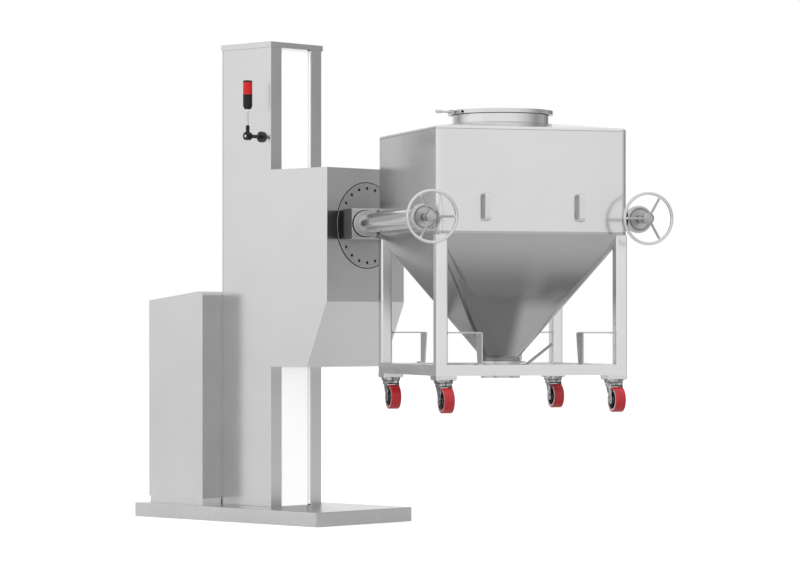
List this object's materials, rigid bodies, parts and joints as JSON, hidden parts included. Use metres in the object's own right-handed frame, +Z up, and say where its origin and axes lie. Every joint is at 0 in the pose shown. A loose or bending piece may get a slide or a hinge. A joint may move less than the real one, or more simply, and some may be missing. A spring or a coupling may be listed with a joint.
{
  "type": "lifting bin blender",
  "caption": "Mast on a floor plate lifts a carriage that turns two clamping arms holding a wheeled square bin with a hopper, lid and outlet valve",
  "frame": {"origin": "middle of the floor plate's underside, on the floor", "axes": "+Z up, the mast's front and the bin face -Y, +X to the right of someone facing the front"},
  "size_m": [1.794, 3.1241, 2.56],
  "materials": {
    "satin_steel": "satin stainless sheet",
    "polished_steel": "polished stainless",
    "frame_steel": "painted structural steel",
    "guide_steel": "machined steel",
    "pale_strip": "pale smooth strip",
    "slide_plastic": "cast nylon",
    "cast_housing": "painted cast iron",
    "dark_spacer": "black painted steel",
    "dark_cap": "dark grey plastic",
    "black_screw": "blackened steel",
    "gasket_rubber": "white food grade rubber",
    "tyre_red": "red cast elastomer",
    "dark_metal": "dark grey painted metal",
    "zinc_steel": "zinc plated",
    "black_plastic": "black plastic",
    "lamp_red": "clear red plastic",
    "bronze_nut": "bronze"
  },
  "bodies": {
    "root": {"base_plate": "satin_steel", "mast_left_post": "satin_steel", "mast_right_post": "satin_steel", "mast_back_panel": "satin_steel", "mast_cap": "satin_steel", "guide_column": "guide_steel", "slot_cover": "pale_strip", "cylinder_barrel": "guide_steel", "cabinet_shell": "satin_steel", "power_pack": "cast_housing", "beacon_bracket": "dark_metal"},
    "door": {"cabinet_door": "satin_steel"},
    "latch": {"door_latch": "black_plastic"},
    "beacon": {"beacon_pole": "black_plastic", "beacon_lens": "lamp_red"},
    "carriage": {"carriage_housing": "satin_steel", "carriage_frame": "frame_steel", "guide_blocks": "slide_plastic", "piston_rod": "polished_steel", "gearbox": "cast_housing", "drive_motor": "cast_housing", "bearing_ring": "guide_steel"},
    "rotor": {"rotor_disc": "satin_steel", "disc_screws": "black_screw", "drive_shaft": "guide_steel", "wedge_spacer": "dark_spacer", "cross_beam": "satin_steel", "beam_end_caps": "dark_cap", "arm_tubes": "polished_steel", "arm_collars": "polished_steel"},
    "left_wheel": {"left_handwheel": "polished_steel"},
    "right_wheel": {"right_handwheel": "polished_steel"},
    "left_nut": {"left_wedge_nut": "bronze_nut"},
    "right_nut": {"right_wedge_nut": "bronze_nut"},
    "left_bar": {"left_clamp_bar": "satin_steel"},
    "right_bar": {"right_clamp_bar": "satin_steel"},
    "bin": {"bin_shell": "satin_steel", "bin_frame": "satin_steel", "fork_guides": "satin_steel", "bin_handles": "polished_steel", "caster_plates": "zinc_steel", "valve_body": "satin_steel"},
    "valve": {"valve_disc": "polished_steel", "valve_lever": "polished_steel"},
    "lid": {"bin_lid": "satin_steel", "lid_gasket": "gasket_rubber", "lid_band": "polished_steel"},
    "lever": {"lid_lever": "polished_steel"},
    "front_left_fork": {"front_left_caster_fork": "zinc_steel"},
    "front_left_wheel": {"front_left_caster_rim": "zinc_steel", "front_left_caster_tyre": "tyre_red"},
    "front_right_fork": {"front_right_caster_fork": "zinc_steel"},
    "front_right_wheel": {"front_right_caster_rim": "zinc_steel", "front_right_caster_tyre": "tyre_red"},
    "rear_left_fork": {"rear_left_caster_fork": "zinc_steel"},
    "rear_left_wheel": {"rear_left_caster_rim": "zinc_steel", "rear_left_caster_tyre": "tyre_red"},
    "rear_right_fork": {"rear_right_caster_fork": "zinc_steel"},
    "rear_right_wheel": {"rear_right_caster_rim": "zinc_steel", "rear_right_caster_tyre": "tyre_red"}
  },
  "joints": [
    {"name": "carriage_lift", "type": "slide", "parent": "root", "child": "carriage", "axis": [0, 0, 1], "range_m": [-0.605, 0.135]},
    {"name": "rotor_turn", "type": "hinge", "parent": "carriage", "child": "rotor", "pos_m": [0.135, -0.589, 1.574], "axis": [0, -1, 0], "continuous": true},
    {"name": "bin_release", "type": "slide", "parent": "rotor", "child": "bin", "axis": [0, 0, -1], "range_m": [0, 0.6]},
    {"name": "door_swing", "type": "hinge", "parent": "root", "child": "door", "pos_m": [-0.2715, 0.6518, 0.656], "axis": [0, 0, 1], "range_deg": [0, 115]},
    {"name": "latch_turn", "type": "hinge", "parent": "door", "child": "latch", "pos_m": [0.224, 0.6455, 0.656], "axis": [0, 1, 0], "range_deg": [0, 90]},
    {"name": "beacon_tilt", "type": "hinge", "parent": "root", "child": "beacon", "pos_m": [-0.265, -0.091, 2.052], "axis": [1, 0, 0], "range_deg": [-90, 90]},
    {"name": "left_wheel_turn", "type": "hinge", "parent": "rotor", "child": "left_wheel", "pos_m": [-0.66223, -1.80039, 1.574], "axis": [-0.4924, -0.8704, 0], "range_deg": [0, 1440]},
    {"name": "left_nut_travel", "type": "slide", "parent": "rotor", "child": "left_nut", "axis": [-0.4924, -0.8704, 0], "range_m": [0, 0.04]},
    {"name": "left_bar_travel", "type": "slide", "parent": "rotor", "child": "left_bar", "axis": [-0.8704, 0.4924, 0], "range_m": [0, 0.006]},
    {"name": "right_wheel_turn", "type": "hinge", "parent": "rotor", "child": "right_wheel", "pos_m": [0.3164, -2.35407, 1.574], "axis": [-0.4924, -0.8704, 0], "range_deg": [0, 1440]},
    {"name": "right_nut_travel", "type": "slide", "parent": "rotor", "child": "right_nut", "axis": [-0.4924, -0.8704, 0], "range_m": [0, 0.04]},
    {"name": "right_bar_travel", "type": "slide", "parent": "rotor", "child": "right_bar", "axis": [0.8704, -0.4924, 0], "range_m": [0, 0.006]},
    {"name": "valve_turn", "type": "hinge", "parent": "bin", "child": "valve", "pos_m": [0.135, -1.533, 0.83], "axis": [0.8704, -0.4924, 0], "range_deg": [0, 90]},
    {"name": "lid_lift", "type": "slide", "parent": "bin", "child": "lid", "axis": [0, 0, 1], "range_m": [0, 0.3]},
    {"name": "lever_flip", "type": "hinge", "parent": "lid", "child": "lever", "pos_m": [-0.12963, -1.45461, 2.122], "axis": [0.284, 0.9588, 0], "range_deg": [0, 95]},
    {"name": "front_left_swivel", "type": "hinge", "parent": "bin", "child": "front_left_fork", "pos_m": [-0.47416, -1.70194, 0.7], "axis": [0, 0, 1], "continuous": true},
    {"name": "front_left_roll", "type": "hinge", "parent": "front_left_fork", "child": "front_left_wheel", "pos_m": [-0.49484, -1.73849, 0.6745], "axis": [0.8704, -0.4924, 0], "continuous": true},
    {"name": "front_right_swivel", "type": "hinge", "parent": "bin", "child": "front_right_fork", "pos_m": [0.30394, -2.14216, 0.7], "axis": [0, 0, 1], "continuous": true},
    {"name": "front_right_roll", "type": "hinge", "parent": "front_right_fork", "child": "front_right_wheel", "pos_m": [0.28325, -2.17872, 0.6745], "axis": [0.8704, -0.4924, 0], "continuous": true},
    {"name": "rear_left_swivel", "type": "hinge", "parent": "bin", "child": "rear_left_fork", "pos_m": [-0.03394, -0.92384, 0.7], "axis": [0, 0, 1], "continuous": true},
    {"name": "rear_left_roll", "type": "hinge", "parent": "rear_left_fork", "child": "rear_left_wheel", "pos_m": [-0.05462, -0.96039, 0.6745], "axis": [0.8704, -0.4924, 0], "continuous": true},
    {"name": "rear_right_swivel", "type": "hinge", "parent": "bin", "child": "rear_right_fork", "pos_m": [0.74416, -1.36406, 0.7], "axis": [0, 0, 1], "continuous": true},
    {"name": "rear_right_roll", "type": "hinge", "parent": "rear_right_fork", "child": "rear_right_wheel", "pos_m": [0.72348, -1.40062, 0.6745], "axis": [0.8704, -0.4924, 0], "continuous": true}
  ],
  "couplings": [
    {"joint": "left_nut_travel", "follows": "left_wheel_turn", "m_per_rad": 0.0015915},
    {"joint": "left_bar_travel", "follows": "left_wheel_turn", "m_per_rad": 0.00023873},
    {"joint": "right_nut_travel", "follows": "right_wheel_turn", "m_per_rad": 0.0015915},
    {"joint": "right_bar_travel", "follows": "right_wheel_turn", "m_per_rad": 0.00023873}
  ]
}
